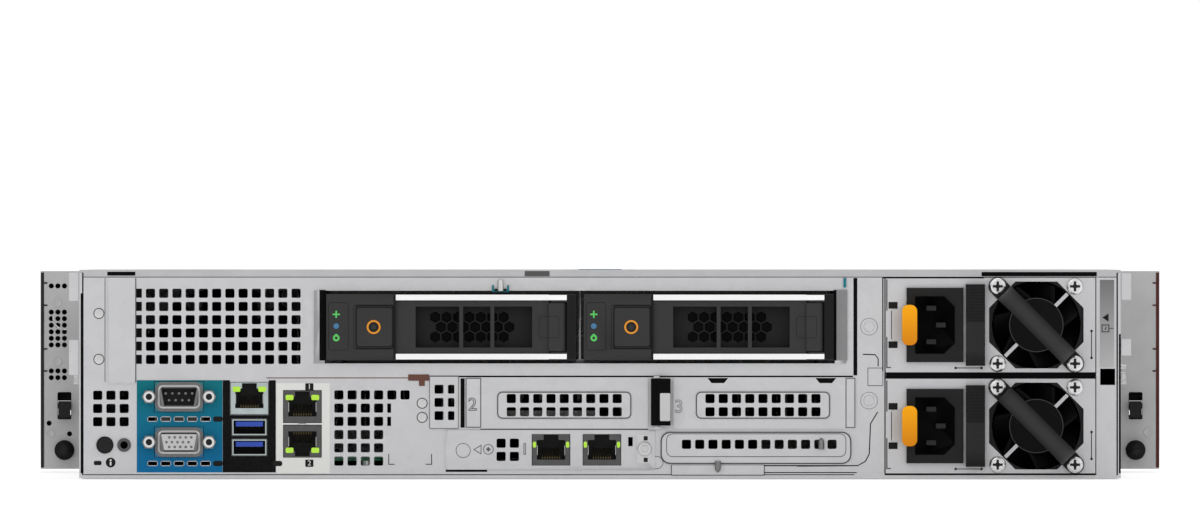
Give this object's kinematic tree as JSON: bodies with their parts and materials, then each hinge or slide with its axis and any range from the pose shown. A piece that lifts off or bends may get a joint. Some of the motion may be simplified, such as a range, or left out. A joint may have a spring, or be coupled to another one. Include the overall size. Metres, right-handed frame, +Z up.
{
  "type": "2u rack server",
  "caption": "Two-unit rack server with hot-swap drive sleds at the front and rear, twin plug-in power supplies, perforated rear wall with ports, and rack ears.",
  "frame": {"origin": "middle of the footprint on the lowest face", "axes": "+Z up, -Y out of the rear wall, +Y out of the drive front, +X to the right seen from the rear"},
  "size_m": [0.482, 0.7376, 0.0868],
  "materials": {
    "galvanised_steel": "zinc-coated sheet, soft satin",
    "ear_paint": "dull grey",
    "ear_plastic": "fine texture",
    "black_plastic": "fine texture",
    "bezel_plastic": "fine texture",
    "orange_plastic": "moulded, semi-gloss",
    "circuit_board": "lacquered",
    "fin_aluminium": "bare",
    "connector_shell": "nickel plated",
    "hardware_steel": "plated"
  },
  "bodies": {
    "chassis": {"chassis_tray": "galvanised_steel", "front_cage": "galvanised_steel", "rear_upper_panel": "galvanised_steel", "rear_io_panel": "galvanised_steel", "rear_slot_panel": "galvanised_steel", "dsub_ports": "connector_shell", "rear_jacks": "connector_shell", "usb_ports": "connector_shell", "slot_covers": "galvanised_steel", "network_card": "circuit_board", "psu_bay": "galvanised_steel", "rear_drive_cage": "galvanised_steel", "circuit_boards": "circuit_board", "heat_sinks": "fin_aluminium", "memory_modules": "circuit_board", "air_shroud": "black_plastic", "fan_frames": "black_plastic", "fan_cage": "galvanised_steel", "ear_brackets": "ear_paint", "ear_covers": "ear_plastic", "chassis_fasteners": "hardware_steel"},
    "lid": {"top_cover": "galvanised_steel"},
    "lid_latch": {"cover_latch": "black_plastic"},
    "fan_1": {"fan_rotor_1": "black_plastic"},
    "fan_2": {"fan_rotor_2": "black_plastic"},
    "fan_3": {"fan_rotor_3": "black_plastic"},
    "fan_4": {"fan_rotor_4": "black_plastic"},
    "rear_drive_left": {"rear_sled_left": "bezel_plastic"},
    "rear_handle_left": {"rear_handle_left": "bezel_plastic"},
    "rear_button_left": {"rear_button_left": "bezel_plastic"},
    "rack_latch_left": {"rack_latch_left": "hardware_steel"},
    "rear_drive_right": {"rear_sled_right": "bezel_plastic"},
    "rear_handle_right": {"rear_handle_right": "bezel_plastic"},
    "rear_button_right": {"rear_button_right": "bezel_plastic"},
    "rack_latch_right": {"rack_latch_right": "hardware_steel"},
    "psu_upper": {"psu_case_upper": "galvanised_steel", "psu_fittings_upper": "black_plastic", "psu_handle_upper": "black_plastic"},
    "psu_latch_upper": {"psu_latch_upper": "orange_plastic"},
    "psu_fan_upper": {"psu_rotor_upper": "black_plastic"},
    "psu_lower": {"psu_case_lower": "galvanised_steel", "psu_fittings_lower": "black_plastic", "psu_handle_lower": "black_plastic"},
    "psu_latch_lower": {"psu_latch_lower": "orange_plastic"},
    "psu_fan_lower": {"psu_rotor_lower": "black_plastic"},
    "power_button": {"power_button": "black_plastic"},
    "identify_button": {"identify_button": "black_plastic"},
    "slot_latch": {"slot_latch": "black_plastic"},
    "front_drive_1": {"front_carrier_1": "bezel_plastic"},
    "front_drive_2": {"front_carrier_2": "bezel_plastic"},
    "front_drive_3": {"front_carrier_3": "bezel_plastic"},
    "front_drive_4": {"front_carrier_4": "bezel_plastic"},
    "front_drive_5": {"front_carrier_5": "bezel_plastic"},
    "front_drive_6": {"front_carrier_6": "bezel_plastic"},
    "front_drive_7": {"front_carrier_7": "bezel_plastic"},
    "front_drive_8": {"front_carrier_8": "bezel_plastic"},
    "front_drive_9": {"front_carrier_9": "bezel_plastic"},
    "front_drive_10": {"front_carrier_10": "bezel_plastic"},
    "front_drive_11": {"front_carrier_11": "bezel_plastic"},
    "front_drive_12": {"front_carrier_12": "bezel_plastic"}
  },
  "joints": [
    {"name": "drive_left_slide", "type": "slide", "parent": "chassis", "child": "rear_drive_left", "axis": [0, -1, 0], "range_m": [0, 0.14]},
    {"name": "drive_left_handle_swing", "type": "hinge", "parent": "rear_drive_left", "child": "rear_handle_left", "pos_m": [-0.01645, -0.33365, 0.06295], "axis": [0, 0, 1], "range_deg": [0, 60]},
    {"name": "drive_left_release_press", "type": "slide", "parent": "rear_drive_left", "child": "rear_button_left", "axis": [0, 1, 0], "range_m": [0, 0.002], "stiffness_N_per_m": 300},
    {"name": "drive_right_slide", "type": "slide", "parent": "chassis", "child": "rear_drive_right", "axis": [0, -1, 0], "range_m": [0, 0.14]},
    {"name": "drive_right_handle_swing", "type": "hinge", "parent": "rear_drive_right", "child": "rear_handle_right", "pos_m": [0.09085, -0.33365, 0.06295], "axis": [0, 0, 1], "range_deg": [0, 60]},
    {"name": "drive_right_release_press", "type": "slide", "parent": "rear_drive_right", "child": "rear_button_right", "axis": [0, 1, 0], "range_m": [0, 0.002], "stiffness_N_per_m": 300},
    {"name": "psu_lower_slide", "type": "slide", "parent": "chassis", "child": "psu_lower", "axis": [0, -1, 0], "range_m": [0, 0.16]},
    {"name": "psu_lower_latch_press", "type": "slide", "parent": "psu_lower", "child": "psu_latch_lower", "axis": [1, 0, 0], "range_m": [0, 0.0018], "stiffness_N_per_m": 300},
    {"name": "psu_lower_fan_spin", "type": "hinge", "parent": "psu_lower", "child": "psu_fan_lower", "pos_m": [0.1818, -0.31805, 0.0217], "axis": [0, 1, 0], "continuous": true},
    {"name": "psu_upper_slide", "type": "slide", "parent": "chassis", "child": "psu_upper", "axis": [0, -1, 0], "range_m": [0, 0.16]},
    {"name": "psu_upper_latch_press", "type": "slide", "parent": "psu_upper", "child": "psu_latch_upper", "axis": [1, 0, 0], "range_m": [0, 0.0018], "stiffness_N_per_m": 300},
    {"name": "psu_upper_fan_spin", "type": "hinge", "parent": "psu_upper", "child": "psu_fan_upper", "pos_m": [0.1818, -0.31805, 0.0638], "axis": [0, 1, 0], "continuous": true},
    {"name": "lid_slide", "type": "slide", "parent": "chassis", "child": "lid", "axis": [0, -1, 0], "range_m": [0, 0.013]},
    {"name": "lid_latch_lift", "type": "hinge", "parent": "lid", "child": "lid_latch", "pos_m": [0, -0.17355, 0.0853], "axis": [-1, 0, 0], "range_deg": [0, 80]},
    {"name": "identify_button_press", "type": "slide", "parent": "chassis", "child": "identify_button", "axis": [0, 1, 0], "range_m": [0, 0.0015], "stiffness_N_per_m": 300},
    {"name": "slot_latch_swing", "type": "hinge", "parent": "chassis", "child": "slot_latch", "pos_m": [0.0236, -0.33475, 0.0313], "axis": [0, 0, -1], "range_deg": [0, 75]},
    {"name": "rack_latch_left_tilt", "type": "hinge", "parent": "chassis", "child": "rack_latch_left", "pos_m": [-0.2307, 0.35575, 0.028], "axis": [1, 0, 0], "range_deg": [0, 15], "stiffness_Nm_per_rad": 0.05},
    {"name": "rack_latch_right_tilt", "type": "hinge", "parent": "chassis", "child": "rack_latch_right", "pos_m": [0.2307, 0.35575, 0.028], "axis": [1, 0, 0], "range_deg": [0, 15], "stiffness_Nm_per_rad": 0.05},
    {"name": "power_button_press", "type": "slide", "parent": "chassis", "child": "power_button", "axis": [0, -1, 0], "range_m": [0, 0.0015], "stiffness_N_per_m": 300},
    {"name": "fan_1_spin", "type": "hinge", "parent": "chassis", "child": "fan_1", "pos_m": [-0.15825, 0.11475, 0.0412], "axis": [0, 1, 0], "continuous": true},
    {"name": "fan_2_spin", "type": "hinge", "parent": "chassis", "child": "fan_2", "pos_m": [-0.05275, 0.11475, 0.0412], "axis": [0, 1, 0], "continuous": true},
    {"name": "fan_3_spin", "type": "hinge", "parent": "chassis", "child": "fan_3", "pos_m": [0.05275, 0.11475, 0.0412], "axis": [0, 1, 0], "continuous": true},
    {"name": "fan_4_spin", "type": "hinge", "parent": "chassis", "child": "fan_4", "pos_m": [0.15825, 0.11475, 0.0412], "axis": [0, 1, 0], "continuous": true},
    {"name": "front_drive_1_slide", "type": "slide", "parent": "chassis", "child": "front_drive_1", "axis": [0, 1, 0], "range_m": [0, 0.14]},
    {"name": "front_drive_2_slide", "type": "slide", "parent": "chassis", "child": "front_drive_2", "axis": [0, 1, 0], "range_m": [0, 0.14]},
    {"name": "front_drive_3_slide", "type": "slide", "parent": "chassis", "child": "front_drive_3", "axis": [0, 1, 0], "range_m": [0, 0.14]},
    {"name": "front_drive_4_slide", "type": "slide", "parent": "chassis", "child": "front_drive_4", "axis": [0, 1, 0], "range_m": [0, 0.14]},
    {"name": "front_drive_5_slide", "type": "slide", "parent": "chassis", "child": "front_drive_5", "axis": [0, 1, 0], "range_m": [0, 0.14]},
    {"name": "front_drive_6_slide", "type": "slide", "parent": "chassis", "child": "front_drive_6", "axis": [0, 1, 0], "range_m": [0, 0.14]},
    {"name": "front_drive_7_slide", "type": "slide", "parent": "chassis", "child": "front_drive_7", "axis": [0, 1, 0], "range_m": [0, 0.14]},
    {"name": "front_drive_8_slide", "type": "slide", "parent": "chassis", "child": "front_drive_8", "axis": [0, 1, 0], "range_m": [0, 0.14]},
    {"name": "front_drive_9_slide", "type": "slide", "parent": "chassis", "child": "front_drive_9", "axis": [0, 1, 0], "range_m": [0, 0.14]},
    {"name": "front_drive_10_slide", "type": "slide", "parent": "chassis", "child": "front_drive_10", "axis": [0, 1, 0], "range_m": [0, 0.14]},
    {"name": "front_drive_11_slide", "type": "slide", "parent": "chassis", "child": "front_drive_11", "axis": [0, 1, 0], "range_m": [0, 0.14]},
    {"name": "front_drive_12_slide", "type": "slide", "parent": "chassis", "child": "front_drive_12", "axis": [0, 1, 0], "range_m": [0, 0.14]}
  ],
  "couplings": [
    {"joint": "lid_latch_lift", "follows": "lid_slide", "rad_per_m": 107}
  ]
}
